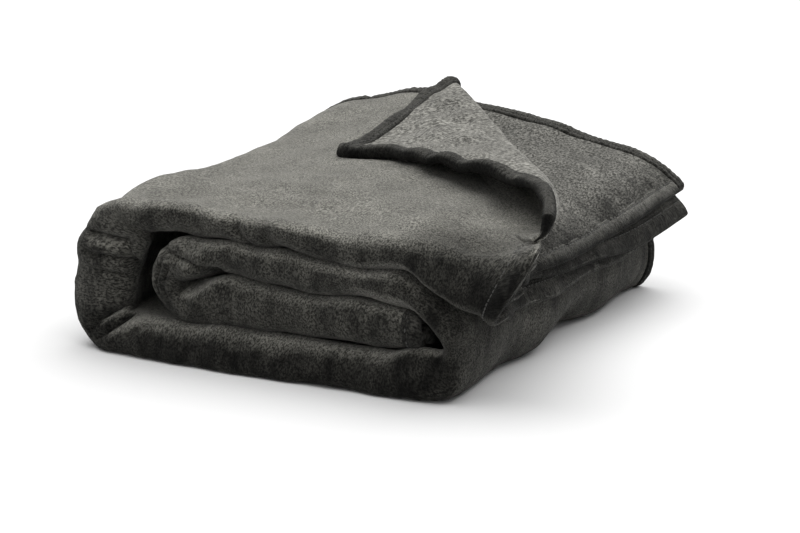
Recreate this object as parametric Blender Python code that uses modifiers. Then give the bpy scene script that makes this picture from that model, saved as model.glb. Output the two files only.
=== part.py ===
"""Folded throw blanket: one fleece cloth with hemmed edges, folded in four and rolled flat.

The cloth is first folded in four across its width, into a strip of four plies, and the strip is
then rolled flat into a pack of four leaves. A place in the strip is given by three numbers:
`along`, the distance from the free end that lies on top of the pack; `y`, the place between the
front folds and the back hems; and `height`, from the strip's inner face to its outer face.
in_pack() turns them into a point of the pack. `across` is the distance over the cloth's own
width, from the cover ply's hem, round the folds, to the lining ply's hem.

Metres, +Z up. The origin is the middle of the footprint, on the surface that the pack rests on.
"""

import math

import bmesh
import bpy
from mathutils import Matrix, Vector

# The pack
PACK_LENGTH = 0.341  # over the left and right folds
PACK_DEPTH = 0.3825  # front folds to back hems
STRIP_THICKNESS = 0.031  # four plies and the air between them
LEAF_GAP = 0.001
PART_GAP = 0.0003  # between pieces that touch

# The cloth and its hems
CLOTH_THICKNESS = 0.0045
HEM_WIDTH = 0.015
HEM_EXTRA = 0.0009  # how much thicker the doubled edge is
THREAD_RADIUS = 0.0005
THREAD_INSET = 0.0015  # from the hem's inner edge to the seam

# The roll: inner radii of its folds, its inner turn, and where its hidden end stops
LEFT_TOP_RADIUS = 0.0245
LEFT_BOTTOM_RADIUS = 0.0065
RIGHT_RADIUS = 0.0125
TURN_OUTER_X = 0.0705  # left face of the inner turn, from the pack's left face
INNER_END_CLEARANCE = 0.001  # hidden end to where the right fold begins to curve
FOLD_LEAD = 0.004  # the flat bit of a leaf that each fold carries at its ends

# The free end, which hangs over the right fold
OVERHANG_ANGLE = math.radians(50)
OVERHANG_LENGTH = 0.048

# The swelling at the back of the top leaf
HUMP_RISE = 0.035
HUMP_FROM_LEFT = 0.1435
HUMP_DEPTH = 0.30125  # from the back hems

# The corner of the cover ply that is turned back
CREASE_BACK = 0.2514  # free end to crease, along the back hem
CREASE_FROM_FRONT = 0.0345  # front fold to crease, along the free end
END_SETBACK = 0.11  # how far the cover ply's back corner lies short of the free end
CREASE_CLEARANCE = 0.002
CURL_LEAD = 0.004  # how far the part that stays curled over the shoulder reaches past it
CORNER_GAP = 0.0015  # round and under the turned corner, whose flat facets cut across curves
# How far each of the corner's seams runs, as shares of the way from the crease to the tip
END_SEAM_SHARES = (0.4, 0.93)
BACK_SEAM_SHARES = (0.15, 0.8)

# How finely the soft shapes are cut up
QUARTER_STEPS = 5
LOOP_STEPS = 5
FRONT_FOLD_STEPS = 8
TOP_STEPS = 7
PLY_STEPS = 2

LEAF_PITCH = STRIP_THICKNESS + LEAF_GAP
PLY_PITCH = (STRIP_THICKNESS - CLOTH_THICKNESS) / 3
HEM_THICKNESS = CLOTH_THICKNESS + HEM_EXTRA
BACK_Y = PACK_DEPTH / 2
FRONT_Y = -PACK_DEPTH / 2
COVER_HEIGHT = STRIP_THICKNESS - CLOTH_THICKNESS / 2
CREASE_FRONT = PACK_DEPTH - CREASE_FROM_FRONT
QUARTER = math.pi / 2
# Where the top leaf meets the left fold, and its top there, counted from the pack's left face
SEAM_X = STRIP_THICKNESS + LEFT_TOP_RADIUS + FOLD_LEAD
LEAF_TOP = 3 * LEAF_PITCH + STRIP_THICKNESS
HUMP_START_X = SEAM_X + FOLD_LEAD

CLOTH_COLOUR = (0.062, 0.060, 0.052, 1)
UNDERSIDE_COLOUR = (0.105, 0.101, 0.090, 1)
HEM_COLOUR = (0.040, 0.039, 0.034, 1)
THREAD_COLOUR = (0.026, 0.025, 0.022, 1)


# ---- the strip's way round the pack ----


def roll_stretches():
    """The stretches of the roll in order, each a list of (straight length, turn, inner radius)."""
    right_x = PACK_LENGTH - STRIP_THICKNESS - RIGHT_RADIUS
    turn_x = TURN_OUTER_X + STRIP_THICKNESS + LEAF_GAP / 2
    shoulder = RIGHT_RADIUS + STRIP_THICKNESS + LEAF_GAP
    left_side = 3 * LEAF_PITCH - LEFT_TOP_RADIUS - STRIP_THICKNESS - LEFT_BOTTOM_RADIUS
    right_side = 2 * LEAF_PITCH - STRIP_THICKNESS - 2 * RIGHT_RADIUS
    bottom = right_x - STRIP_THICKNESS - LEFT_BOTTOM_RADIUS
    third = right_x - INNER_END_CLEARANCE - turn_x
    lead = (FOLD_LEAD, 0, 0)
    return {
        "top_leaf": [
            (OVERHANG_LENGTH, 0, 0),
            (0, OVERHANG_ANGLE, shoulder),
            (right_x - HUMP_START_X, 0, 0),
            lead,
        ],
        "left_fold": [
            lead,
            (0, QUARTER, LEFT_TOP_RADIUS),
            (left_side, 0, 0),
            (0, QUARTER, LEFT_BOTTOM_RADIUS),
            lead,
        ],
        "bottom_leaf": [(bottom - 2 * FOLD_LEAD, 0, 0)],
        "right_fold": [
            lead,
            (0, QUARTER, RIGHT_RADIUS),
            (right_side, 0, 0),
            (0, QUARTER, RIGHT_RADIUS),
            lead,
        ],
        "second_leaf": [(right_x - turn_x - 2 * FOLD_LEAD, 0, 0)],
        "inner_turn": [lead, (0, 2 * QUARTER, LEAF_GAP / 2), lead],
        "third_leaf": [(third - FOLD_LEAD, 0, 0)],
    }


def trace_roll():
    """Follow the strip's middle from the free end inwards: each part of the way, and each stretch's stops."""
    place = Vector((0, 0))
    heading = math.pi - OVERHANG_ANGLE
    done = 0.0
    way = []
    stops = {}
    ends = {}
    for name, parts in roll_stretches().items():
        stops[name] = [done]
        for straight, turn, inner_radius in parts:
            radius = inner_radius + STRIP_THICKNESS / 2
            length = straight or radius * turn
            way.append((done, length, place.copy(), heading, turn / length))
            steps = max(1, round(turn / QUARTER * QUARTER_STEPS))
            if straight > OVERHANG_LENGTH and name == "top_leaf":
                steps = TOP_STEPS
            stops[name] += [done + length * step / steps for step in range(1, steps + 1)]
            place += step_along(heading, turn / length, length)
            heading += turn
            done += length
        ends[name] = place.copy()
    seam = Vector((SEAM_X, LEAF_TOP - STRIP_THICKNESS / 2))
    return way, stops, seam - ends["top_leaf"]


def step_along(heading, bend, distance):
    """How far a point moves, in x and z, going `distance` on a straight line or on an arc."""
    if not bend:
        return distance * Vector((math.cos(heading), math.sin(heading)))
    ahead = heading + bend * distance
    return Vector((math.sin(ahead) - math.sin(heading), math.cos(heading) - math.cos(ahead))) / bend


WAY, STOPS, WAY_OFFSET = trace_roll()
CLOTH_LENGTH = STOPS["third_leaf"][-1]
SEAM_ALONG = STOPS["top_leaf"][-1]


def on_roll(along):
    """The middle of the strip and its outward direction, each as x and z."""
    start, length, place, heading, bend = [part for part in WAY if part[0] <= along + 1e-9][-1]
    heading_here = heading + bend * (along - start)
    outward = Vector((math.sin(heading_here), -math.cos(heading_here)))
    return WAY_OFFSET + place + step_along(heading, bend, along - start), outward


def smooth(value):
    value = min(max(value, 0.0), 1.0)
    return value * value * (3 - 2 * value)


def hump(x, y):
    """Height that the swelling adds to the cover ply at a place of the top leaf."""
    right_x = PACK_LENGTH - STRIP_THICKNESS
    if x < HUMP_FROM_LEFT:
        lengthways = smooth((x - HUMP_START_X) / (HUMP_FROM_LEFT - HUMP_START_X))
    else:
        lengthways = smooth((right_x - x) / (right_x - HUMP_FROM_LEFT))
    return HUMP_RISE * lengthways * smooth((y - BACK_Y + HUMP_DEPTH) / HUMP_DEPTH)


def centre_x():
    """Middle of the pack's footprint, counted from its left face."""
    place, outward = on_roll(0.0)
    return (place.x + outward.x * (STRIP_THICKNESS + HEM_EXTRA) / 2) / 2


CENTRE_X = centre_x()


def in_pack(along, y, height):
    """A point of the pack from its place in the strip."""
    middle, outward = on_roll(along)
    place = middle + outward * (height - STRIP_THICKNESS / 2)
    lift = 0.0
    if along < SEAM_ALONG:
        lift = hump(place.x, y) * min(max(height / STRIP_THICKNESS, 0.0), 1.0)
    return Vector((place.x - CENTRE_X, y, place.y + lift))


# ---- the cloth's way across the strip ----


def ply_height(ply):
    """Middle of a ply, from the strip's inner face. Ply 1 is the cover, 2 the lining, 4 the inside."""
    return CLOTH_THICKNESS / 2 + (4 - ply) * PLY_PITCH


FRONT_RADIUS = 1.5 * PLY_PITCH
LOOP_RADIUS = PLY_PITCH / 2
FRONT_CENTRE_Y = FRONT_Y + CLOTH_THICKNESS / 2 + FRONT_RADIUS
INNER_CENTRE_Y = FRONT_Y + 2 * CLOTH_THICKNESS + LOOP_RADIUS
LOOP_CENTRE_Y = BACK_Y - CLOTH_THICKNESS / 2 - LOOP_RADIUS

COVER_WIDTH = BACK_Y - FRONT_CENTRE_Y
# (start y, start height, straight run, half-turn radius) of the cloth, from hem to hem
ACROSS_PARTS = (
    (BACK_Y, ply_height(1), -COVER_WIDTH, 0),
    (FRONT_CENTRE_Y, ply_height(1), 0, -FRONT_RADIUS),
    (FRONT_CENTRE_Y, ply_height(4), LOOP_CENTRE_Y - FRONT_CENTRE_Y, 0),
    (LOOP_CENTRE_Y, ply_height(4), 0, LOOP_RADIUS),
    (LOOP_CENTRE_Y, ply_height(3), INNER_CENTRE_Y - LOOP_CENTRE_Y, 0),
    (INNER_CENTRE_Y, ply_height(3), 0, -LOOP_RADIUS),
    (INNER_CENTRE_Y, ply_height(2), BACK_Y - INNER_CENTRE_Y, 0),
)


def part_width(part):
    return abs(part[2]) or math.pi * abs(part[3])


CLOTH_WIDTH = sum(part_width(part) for part in ACROSS_PARTS)


def across_strip(across):
    """y and height of a point of the cloth, from its distance over the cloth's width."""
    left = across
    for part in ACROSS_PARTS:
        if left <= part_width(part) + 1e-9:
            break
        left -= part_width(part)
    y, height, run, radius = part
    if run:
        return y + math.copysign(left, run), height
    angle = left / abs(radius)
    upward = 1 if radius > 0 or part is ACROSS_PARTS[5] else -1
    return y + radius * math.sin(angle), height + upward * abs(radius) * (1 - math.cos(angle))


def across_stops(first, last, ply_steps):
    """Places over the cloth's width where its mesh has a row of points, between two limits."""
    stops = [first]
    done = 0.0
    for part in ACROSS_PARTS:
        width = part_width(part)
        steps = ply_steps
        if not part[2]:
            steps = FRONT_FOLD_STEPS if abs(part[3]) == FRONT_RADIUS else LOOP_STEPS
        for step in range(1, steps + 1):
            stop = done + width * step / steps
            if first + PART_GAP < stop < last - PART_GAP:
                stops.append(stop)
        done += width
    return stops + [last]


# ---- making objects ----


def clear_scene():
    for obj in list(bpy.data.objects):
        bpy.data.objects.remove(obj)


def make_material(name, colour):
    material = bpy.data.materials.new(name)
    material.use_nodes = True
    shader = material.node_tree.nodes["Principled BSDF"]
    shader.inputs["Base Color"].default_value = colour
    shader.inputs["Roughness"].default_value = 0.95
    shader.inputs["Metallic"].default_value = 0.0
    return material


def make_patch(name, columns, rows, place, thickness, spread=None, cuts=()):
    """A piece of cloth: a flat grid, trimmed along straight cuts, folded by `place`, then thickened.

    Each cut is (point, direction) on the flat, and takes off what lies on the direction's side.
    """
    mesh = bmesh.new()
    bmesh.ops.create_grid(mesh, x_segments=len(columns) - 1, y_segments=len(rows) - 1, size=1)
    for vert in mesh.verts:
        column = columns[round((vert.co.x + 1) / 2 * (len(columns) - 1))]
        row = rows[round((vert.co.y + 1) / 2 * (len(rows) - 1))]
        vert.co = (*spread(column, row), 0) if spread else (column, row, 0)
    for point, direction in cuts:
        bmesh.ops.bisect_plane(
            mesh,
            geom=mesh.verts[:] + mesh.edges[:] + mesh.faces[:],
            plane_co=(*point, 0),
            plane_no=(*direction, 0),
            clear_outer=True,
            dist=PART_GAP / 10,
        )
    for vert in mesh.verts:
        vert.co = place(vert.co.x, vert.co.y)
    data = bpy.data.meshes.new(name)
    mesh.to_mesh(data)
    mesh.free()
    data.shade_smooth()
    obj = bpy.data.objects.new(name, data)
    wall = obj.modifiers.new("thickness", "SOLIDIFY")
    wall.thickness = thickness
    wall.offset = 0
    wall.use_even_offset = True
    return obj


def folded(along, across):
    return in_pack(along, *across_strip(across))


def stretch_stops(name):
    """Stops along a stretch of the roll, with half a gap left at both ends."""
    stops = list(STOPS[name])
    stops[0] += PART_GAP / 2
    stops[-1] -= PART_GAP / 2
    return stops


def between(stops, first, last):
    """The stops that lie between two limits, with the limits themselves."""
    return [first] + [stop for stop in stops if first + PART_GAP < stop < last - PART_GAP] + [last]


def hem_height(ply):
    """Middle of a long hem. The cover's hem is flush with its outer face and is thicker inwards."""
    return ply_height(ply) - (HEM_EXTRA / 2 if ply == 1 else 0)


def make_back_hem(name, stops, ply):
    return make_patch(
        name,
        stops,
        [BACK_Y - HEM_WIDTH, BACK_Y],
        lambda along, y: in_pack(along, y, hem_height(ply)),
        HEM_THICKNESS,
    )


def make_seam(name, points):
    """The sewing thread of a seam, as one thin tube through the given points."""
    curve = bpy.data.curves.new(name, "CURVE")
    curve.dimensions = "3D"
    curve.bevel_depth = THREAD_RADIUS
    curve.bevel_resolution = 1
    curve.use_fill_caps = True
    spline = curve.splines.new("POLY")
    spline.points.add(len(points) - 1)
    for spot, point in zip(spline.points, points):
        spot.co = (*point, 1)
    return bpy.data.objects.new(name, curve)


def seam_height(ply, outside):
    """Middle of a seam's thread, just clear of the ply's outer or inner face."""
    clear = CLOTH_THICKNESS / 2 + PART_GAP + THREAD_RADIUS
    return ply_height(ply) + (clear if outside else -clear)


# ---- the pieces ----


def inner_pieces():
    """The stretches of the roll under the top leaf, their long hems, and the hem of the hidden end."""
    cloth = []
    hems = []
    last = STOPS["third_leaf"][-1] - PART_GAP / 2 - HEM_WIDTH - PART_GAP
    rows = across_stops(HEM_WIDTH + PART_GAP, CLOTH_WIDTH - HEM_WIDTH - PART_GAP, PLY_STEPS)
    for name in STOPS:
        if name == "top_leaf":
            continue
        stops = stretch_stops(name)
        body_stops = between(stops, stops[0], min(stops[-1], last))
        cloth.append(make_patch(name, body_stops, rows, folded, CLOTH_THICKNESS))
        hems.append(make_back_hem(name + "_cover_hem", stops, 1))
        hems.append(make_back_hem(name + "_lining_hem", stops, 2))
    end = STOPS["third_leaf"][-1] - PART_GAP / 2
    hems.append(make_patch("hidden_end_hem", [end - HEM_WIDTH, end], rows, folded, HEM_THICKNESS))
    return cloth, hems


def inner_seams():
    """The sewing threads of the hems under the top leaf."""
    stops = [stop for name in STOPS if name != "top_leaf" for stop in stretch_stops(name)]
    stops = between(stops, stops[0], stops[-1] - HEM_WIDTH - THREAD_INSET)
    seam_y = BACK_Y - HEM_WIDTH - THREAD_INSET
    cover = [in_pack(stop, seam_y, seam_height(1, outside=False)) for stop in stops]
    lining = [in_pack(stop, seam_y, seam_height(2, outside=True)) for stop in stops]
    return [make_seam("inner_cover_seam", cover), make_seam("inner_lining_seam", lining)]


CREASE_BACK_POINT = Vector((CREASE_BACK, BACK_Y))
CREASE_FRONT_POINT = Vector((0.0, BACK_Y - CREASE_FRONT))
FLAT_CORNER = Vector((END_SETBACK, BACK_Y))
CREASE = (CREASE_FRONT_POINT - CREASE_BACK_POINT).normalized()
CORNER_SIDE = Vector((CREASE.y, -CREASE.x)) * math.copysign(
    1, (FLAT_CORNER - CREASE_BACK_POINT).dot(Vector((CREASE.y, -CREASE.x)))
)


def turned_back(point):
    """Where a point of the cover ply's corner lies once the corner is turned back over the crease."""
    return point - 2 * (point - CREASE_BACK_POINT).dot(CORNER_SIDE) * CORNER_SIDE


TIP = turned_back(FLAT_CORNER)


def top_leaf_pieces():
    """The leaf on top: its cover ply up to the crease, its other plies, and their hems."""
    stops = stretch_stops("top_leaf")
    body_stops = between(stops, HEM_WIDTH + PART_GAP, stops[-1])
    crease_cut = (CREASE_BACK_POINT - CREASE_CLEARANCE * CORNER_SIDE, CORNER_SIDE)
    cover_end = COVER_WIDTH - FOLD_LEAD
    widths = across_stops(HEM_WIDTH + PART_GAP, cover_end - PART_GAP, TOP_STEPS)
    cover = make_patch(
        "top_leaf_cover",
        body_stops,
        [BACK_Y - width for width in reversed(widths)],
        lambda along, y: in_pack(along, y, COVER_HEIGHT),
        CLOTH_THICKNESS,
        cuts=[crease_cut],
    )
    plies = make_patch(
        "top_leaf_plies",
        body_stops,
        across_stops(cover_end, CLOTH_WIDTH - HEM_WIDTH - PART_GAP, TOP_STEPS),
        folded,
        CLOTH_THICKNESS,
    )
    cover_hem = make_patch(
        "top_leaf_cover_hem",
        between(stops, CREASE_BACK, stops[-1]),
        [BACK_Y - HEM_WIDTH, BACK_Y],
        lambda along, y: in_pack(along, y, hem_height(1)),
        HEM_THICKNESS,
        cuts=[crease_cut],
    )
    lining_hem = make_back_hem("top_leaf_lining_hem", stops, 2)
    end_hem = make_patch(
        "free_end_hem",
        [stops[0], HEM_WIDTH],
        across_stops(CREASE_FRONT + PART_GAP, CLOTH_WIDTH - HEM_WIDTH - PART_GAP, TOP_STEPS),
        folded,
        HEM_THICKNESS,
    )
    return [cover, plies], [cover_hem, lining_hem, end_hem]


def top_leaf_seams():
    stops = stretch_stops("top_leaf")
    seam_y = BACK_Y - HEM_WIDTH - THREAD_INSET
    first = CREASE_BACK + HEM_WIDTH
    cover = [
        in_pack(stop, seam_y, seam_height(1, outside=True))
        for stop in between(stops, first, stops[-1] - FOLD_LEAD)
    ]
    lining = [
        in_pack(stop, seam_y, seam_height(2, outside=True))
        for stop in between(stops, HEM_WIDTH + THREAD_INSET, stops[-1] - FOLD_LEAD)
    ]
    return [make_seam("top_leaf_cover_seam", cover), make_seam("top_leaf_lining_seam", lining)]


def edge_spread(start, end, inward):
    """Lay a band along an edge: from its share of the way and its distance inwards, to the flat."""
    return lambda share, inset: start.lerp(end, share) + inward * inset


def shoulder_along():
    """Where the leaf starts to bend down over the right fold, from the free end."""
    return next(stop for stop in STOPS["top_leaf"] if on_roll(stop)[1].y > 1 - 1e-6)


def turned_corner_pieces():
    """The turned-back corner, which lies on the cover ply, with its hems and their seams.

    The part of it that curls over the shoulder stays with the leaf, and the rest can be opened.
    """
    front_edge = (TIP - CREASE_FRONT_POINT).normalized()
    back_edge = (TIP - CREASE_BACK_POINT).normalized()
    front_inward = Vector((-front_edge.y, front_edge.x))
    back_inward = Vector((back_edge.y, -back_edge.x))
    if front_inward.dot(CREASE_BACK_POINT - TIP) < 0:
        front_inward.negate()
    if back_inward.dot(CREASE_FRONT_POINT - TIP) < 0:
        back_inward.negate()
    crease_cut = (CREASE_BACK_POINT - CREASE_CLEARANCE * CORNER_SIDE, CORNER_SIDE)
    curl_along = shoulder_along() + CURL_LEAD
    keep_opening = ((curl_along, 0.0), (-1.0, 0.0))
    keep_curl = ((curl_along - CORNER_GAP, 0.0), (1.0, 0.0))
    free_end_cut = ((0.0, 0.0), (-1.0, 0.0))
    inset = HEM_WIDTH + CORNER_GAP
    base = STRIP_THICKNESS + CORNER_GAP
    stops = between(STOPS["top_leaf"], PART_GAP, TIP.x)
    rows = [CREASE_FRONT_POINT.y + CREASE_FRONT * step / TOP_STEPS for step in range(TOP_STEPS + 1)]
    front_hem_cut = (TIP + inset * front_inward, -front_inward)
    back_hem_cut = (TIP + inset * back_inward, -back_inward)
    shares = [step / TOP_STEPS for step in range(TOP_STEPS + 1)]
    end_shares = [stop / TIP.x for stop in between(STOPS["top_leaf"], 0.0, TIP.x)]

    def on_cover(thickness):
        return lambda along, y: in_pack(max(along, 0.0), y, base + thickness / 2)

    def make_flap(name, side_cut):
        cuts = [crease_cut, side_cut, front_hem_cut, back_hem_cut]
        return make_patch(name, stops, rows, on_cover(CLOTH_THICKNESS), CLOTH_THICKNESS, cuts=cuts)

    def make_corner_hem(name, columns, start, inward, cuts):
        lay = edge_spread(start, TIP, inward)
        return make_patch(
            name, columns, [0, HEM_WIDTH], on_cover(HEM_THICKNESS), HEM_THICKNESS, lay, cuts
        )

    end_cuts = [crease_cut, free_end_cut]
    flap = make_flap("corner_flap", keep_opening)
    curl = make_flap("corner_curl", keep_curl)
    end_hem = make_corner_hem(
        "corner_end_hem", end_shares, CREASE_FRONT_POINT, front_inward, end_cuts + [keep_opening]
    )
    curl_hem = make_corner_hem(
        "corner_curl_hem", end_shares, CREASE_FRONT_POINT, front_inward, end_cuts + [keep_curl]
    )
    back_hem = make_corner_hem(
        "corner_back_hem", shares, CREASE_BACK_POINT, back_inward, [crease_cut, front_hem_cut]
    )
    thread_height = base + CLOTH_THICKNESS + CORNER_GAP + THREAD_RADIUS
    seams = []
    for name, start, inward, seam_stops in (
        ("corner_end_seam", CREASE_FRONT_POINT, front_inward, between(end_shares, *END_SEAM_SHARES)),
        ("corner_back_seam", CREASE_BACK_POINT, back_inward, between(shares, *BACK_SEAM_SHARES)),
    ):
        lay = edge_spread(start, TIP, inward)
        places = [lay(stop, inset + THREAD_INSET) for stop in seam_stops]
        seams.append(make_seam(name, [in_pack(*place, thread_height) for place in places]))
    return {"cloth": [flap], "hems": [end_hem, back_hem], "seams": seams}, [curl], [curl_hem]


# ---- the joints ----


def make_hinge(name, point, direction, parent=None):
    """An empty on a joint's axis, with its own Z along the axis."""
    hinge = bpy.data.objects.new(name, None)
    hinge.empty_display_size = HEM_WIDTH
    turn = direction.to_track_quat("Z", "Y").to_matrix().to_4x4()
    world = Matrix.Translation(point) @ turn
    hinge.parent = parent
    hinge.matrix_local = parent.matrix_world.inverted() @ world if parent else world
    return hinge


def crease_axis():
    """Two points of a straight line just above the crease, which clears the shoulder of the leaf."""
    top = STRIP_THICKNESS + CORNER_GAP + HEM_THICKNESS
    back = in_pack(*CREASE_BACK_POINT, top)
    along = shoulder_along()
    shoulder_y = CREASE_FRONT_POINT.lerp(CREASE_BACK_POINT, along / CREASE_BACK).y
    shoulder = in_pack(along, shoulder_y, top)
    front = in_pack(*CREASE_FRONT_POINT, top)
    reach = (front.xy - shoulder.xy).length / (shoulder.xy - back.xy).length
    front.z = shoulder.z - (back.z - shoulder.z) * reach
    return back, front


def attach(objects, collection, material, parent=None):
    for obj in objects:
        collection.objects.link(obj)
        obj.data.materials.append(material)
        if parent:
            obj.parent = parent
            obj.matrix_parent_inverse = parent.matrix_world.inverted()


def build():
    clear_scene()
    collection = bpy.data.collections.new("folded_throw_blanket")
    bpy.context.scene.collection.children.link(collection)
    cloth_material = make_material("fleece", CLOTH_COLOUR)
    underside_material = make_material("fleece_underside", UNDERSIDE_COLOUR)
    hem_material = make_material("hem", HEM_COLOUR)
    thread_material = make_material("thread", THREAD_COLOUR)

    seam = Vector((SEAM_X - CENTRE_X, 0, LEAF_TOP))
    leaf_hinge = make_hinge("top_leaf_hinge", seam, Vector((0, -1, 0)))
    collection.objects.link(leaf_hinge)
    bpy.context.view_layer.update()
    back, front = crease_axis()
    corner_hinge = make_hinge("turned_corner_hinge", back, back - front, leaf_hinge)
    collection.objects.link(corner_hinge)
    bpy.context.view_layer.update()

    cloth, hems = inner_pieces()
    attach(cloth, collection, cloth_material)
    attach(hems, collection, hem_material)
    attach(inner_seams(), collection, thread_material)
    cloth, hems = top_leaf_pieces()
    attach(cloth, collection, cloth_material, leaf_hinge)
    attach(hems, collection, hem_material, leaf_hinge)
    attach(top_leaf_seams(), collection, thread_material, leaf_hinge)
    opening, curl, curl_hem = turned_corner_pieces()
    attach(curl, collection, underside_material, leaf_hinge)
    attach(curl_hem, collection, hem_material, leaf_hinge)
    attach(opening["cloth"], collection, underside_material, corner_hinge)
    attach(opening["hems"], collection, hem_material, corner_hinge)
    attach(opening["seams"], collection, thread_material, corner_hinge)


build()
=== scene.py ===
import math

import bmesh
import bpy
import numpy as np
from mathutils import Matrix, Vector
from mathutils.bvhtree import BVHTree


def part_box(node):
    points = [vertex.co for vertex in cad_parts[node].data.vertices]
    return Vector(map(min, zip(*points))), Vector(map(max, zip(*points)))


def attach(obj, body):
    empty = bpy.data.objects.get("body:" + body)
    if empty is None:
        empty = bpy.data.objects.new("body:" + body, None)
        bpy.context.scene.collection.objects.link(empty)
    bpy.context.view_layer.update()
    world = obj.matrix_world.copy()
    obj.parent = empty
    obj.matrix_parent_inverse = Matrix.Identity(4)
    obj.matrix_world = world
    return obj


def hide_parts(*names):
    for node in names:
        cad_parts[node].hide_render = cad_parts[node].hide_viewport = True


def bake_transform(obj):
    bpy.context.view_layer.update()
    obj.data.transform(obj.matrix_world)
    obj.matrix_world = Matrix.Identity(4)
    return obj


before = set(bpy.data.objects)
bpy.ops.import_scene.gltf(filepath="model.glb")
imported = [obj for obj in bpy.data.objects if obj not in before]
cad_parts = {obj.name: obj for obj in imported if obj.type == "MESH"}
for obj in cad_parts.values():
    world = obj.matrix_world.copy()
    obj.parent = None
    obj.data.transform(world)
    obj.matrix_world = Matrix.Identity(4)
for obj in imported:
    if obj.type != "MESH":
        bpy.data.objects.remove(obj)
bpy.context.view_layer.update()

# ---- Rolled cloth ----
# The part of the throw under the top leaf: one cut of flannel fleece, brushed on both faces, folded
# in four across its width and rolled flat. Nothing holds it but its own weight and the grip of its
# pile. The pack rests on its bottom leaf.

CLOTH = 0.0045
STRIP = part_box("bottom_leaf")[1].z
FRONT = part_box("bottom_leaf")[0].y
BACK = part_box("bottom_leaf_cover_hem")[1].y
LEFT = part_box("left_fold")[0].x
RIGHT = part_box("right_fold")[1].x
LEAF_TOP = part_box("left_fold")[1].z
TURN_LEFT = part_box("inner_turn")[0].x
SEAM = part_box("left_fold")[1].x
PLY = (STRIP - CLOTH) / 3
GAP = 0.001
LEFT_TOP, LEFT_BOTTOM, RIGHT_TURN = 0.0245, 0.0065, 0.0125
HALF = STRIP / 2


def walk(place, heading, parts):
    """A line drawn by going on and turning, as distances, points and headings a millimetre apart."""
    distances, points, headings = [0.0], [place], [heading]
    for length, turn in parts:
        steps = max(2, round(length / 0.001))
        for _ in range(steps):
            ahead = headings[-1] + turn / steps / 2
            x, z = points[-1]
            points.append((x + length / steps * math.cos(ahead), z + length / steps * math.sin(ahead)))
            headings.append(headings[-1] + turn / steps)
            distances.append(distances[-1] + length / steps)
    return np.array(distances), np.array(points), np.array(headings)


def bend(radius, turn):
    return (radius * abs(turn), turn)


def across_line(front_radius):
    """The cloth's way over the strip's width: cover hem, front fold, inside, loop, lining hem."""
    top = CLOTH / 2 + 3 * PLY
    cover = BACK - (FRONT + CLOTH / 2 + front_radius)
    inside = BACK - CLOTH / 2 - PLY / 2 - (FRONT + CLOTH / 2 + front_radius)
    third = BACK - CLOTH / 2 - PLY / 2 - (FRONT + 2 * CLOTH + PLY / 2)
    parts = [(cover, 0), bend(front_radius, math.pi), (inside, 0), bend(PLY / 2, math.pi)]
    parts += [(third, 0), bend(PLY / 2, -math.pi), (third + PLY / 2 + CLOTH / 2, 0)]
    return walk((BACK, top), math.pi, parts)


ACROSS = across_line(1.5 * PLY)
WIDTH = ACROSS[0][-1]
LEFT_SIDE = LEAF_TOP - 2 * STRIP - LEFT_TOP - LEFT_BOTTOM
RIGHT_SIDE = 2 * (STRIP + GAP) - STRIP - 2 * RIGHT_TURN
BEND_X = RIGHT - STRIP - RIGHT_TURN
BOTTOM_LENGTH = BEND_X - (LEFT + STRIP + LEFT_BOTTOM)
TURN_X = TURN_LEFT + STRIP + GAP / 2
ROLL = walk(
    (SEAM, LEAF_TOP - HALF),
    math.pi,
    [
        (SEAM - (LEFT + STRIP + LEFT_TOP), 0),
        bend(LEFT_TOP + HALF, math.pi / 2),
        (LEFT_SIDE, 0),
        bend(LEFT_BOTTOM + HALF, math.pi / 2),
        (BOTTOM_LENGTH, 0),
        bend(RIGHT_TURN + HALF, math.pi / 2),
        (RIGHT_SIDE, 0),
        bend(RIGHT_TURN + HALF, math.pi / 2),
        (BEND_X - TURN_X, 0),
        bend(GAP / 2 + HALF, math.pi),
        (BEND_X - TURN_X - 0.001, 0),
    ],
)
ROLL_LENGTH = ROLL[0][-1]


def on_line(line, at):
    distances, points, headings = line
    first = np.interp(at, distances, points[:, 0])
    second = np.interp(at, distances, points[:, 1])
    return first, second, np.interp(at, distances, headings)


def in_pack(roll, along, across):
    """Points of the folded cloth, from places along the roll and over the width."""
    x, z, heading = on_line(roll, along)
    y, height, _ = on_line(ACROSS, across)
    outward = height - HALF
    return np.stack([x + np.sin(heading) * outward, y, z - np.cos(heading) * outward], axis=-1)


def smooth(value):
    value = np.clip(value, 0, 1)
    return value * value * (3 - 2 * value)


def ripple(points, size, seed):
    """Soft unevenness of about unit height, as smooth waves of one size in every direction."""
    random = np.random.default_rng(seed)
    total = np.zeros(len(points))
    for _ in range(12):
        way = random.normal(size=3)
        way *= random.uniform(0.7, 1.4) / np.linalg.norm(way)
        total += np.sin(points @ way * (2 * math.pi / size) + random.uniform(0, 2 * math.pi))
    return total / math.sqrt(6)


# How the real roll lies, against the even one: where the leaves meet along the front.
# (place of the meeting line along x, its height), for the even height of each line.
MEETINGS = {
    STRIP + GAP / 2: [
        (-0.0735, 0.031), (-0.04, 0.032), (0.0, 0.033), (0.06, 0.034), (0.09, 0.038), (0.108, 0.044),
    ],
    2 * STRIP + 1.5 * GAP: [
        (-0.085, 0.063), (-0.063, 0.0735), (-0.04, 0.072), (-0.02, 0.07), (0.01, 0.067),
        (0.058, 0.071), (0.085, 0.068), (0.108, 0.063),
    ],
    3 * STRIP + 2.5 * GAP: [
        (-0.137, 0.0955), (-0.1, 0.102), (-0.076, 0.1), (-0.0555, 0.102), (-0.031, 0.098),
        (-0.004, 0.101), (0.016, 0.096), (0.04, 0.0945), (0.064, 0.092), (0.085, 0.0945),
        (0.0975, 0.0925), (0.108, 0.084),
    ],
}
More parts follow.
